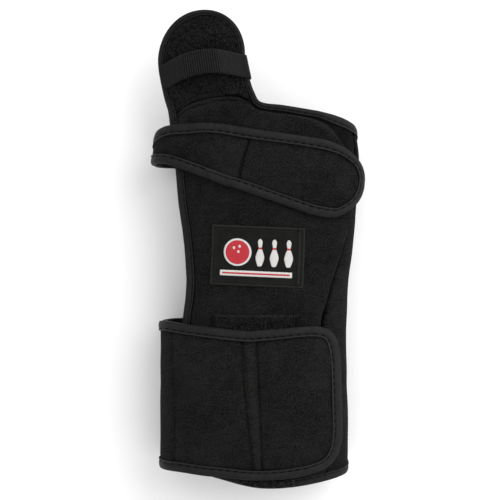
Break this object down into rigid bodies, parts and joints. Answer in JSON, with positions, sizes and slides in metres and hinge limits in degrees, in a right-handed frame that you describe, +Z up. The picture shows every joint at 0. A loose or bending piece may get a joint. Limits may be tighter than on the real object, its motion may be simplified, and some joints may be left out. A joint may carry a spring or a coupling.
{
  "type": "bowling wrist glove",
  "caption": "Padded right-hand bowling wrist glove lying palm down, with wrap-round palm and cuff straps, a finger tab with an elastic loop, and tape-bound edges.",
  "frame": {"origin": "on the ground, under the middle of the glove's bounding box", "axes": "+X to the closed little-finger side, +Y from the cuff to the finger tab, +Z up from the palm panel to the back of the hand"},
  "size_m": [0.1302, 0.2848, 0.055],
  "materials": {
    "body_cloth": "matte black knit-faced foam cloth",
    "palm_cloth": "matte black smooth cloth",
    "binding_tape": "satin black folded binding tape",
    "loop_cloth": "fuzzy black loop pile",
    "label_cloth": "matte woven patch with a folded border",
    "elastic": "ribbed black elastic",
    "strap_cloth": "matte black laminated cloth"
  },
  "bodies": {
    "root": {"front_panel": "body_cloth", "side_panel": "body_cloth", "palm_panel": "palm_cloth", "edge_binding": "binding_tape", "front_pad": "body_cloth", "tab_lining": "loop_cloth", "label_patch": "label_cloth", "cuff_loop_patch": "loop_cloth", "finger_elastic": "elastic", "palm_strap": "strap_cloth", "palm_strap_binding": "binding_tape", "cuff_strap": "strap_cloth", "cuff_strap_binding": "binding_tape"}
  },
  "joints": []
}
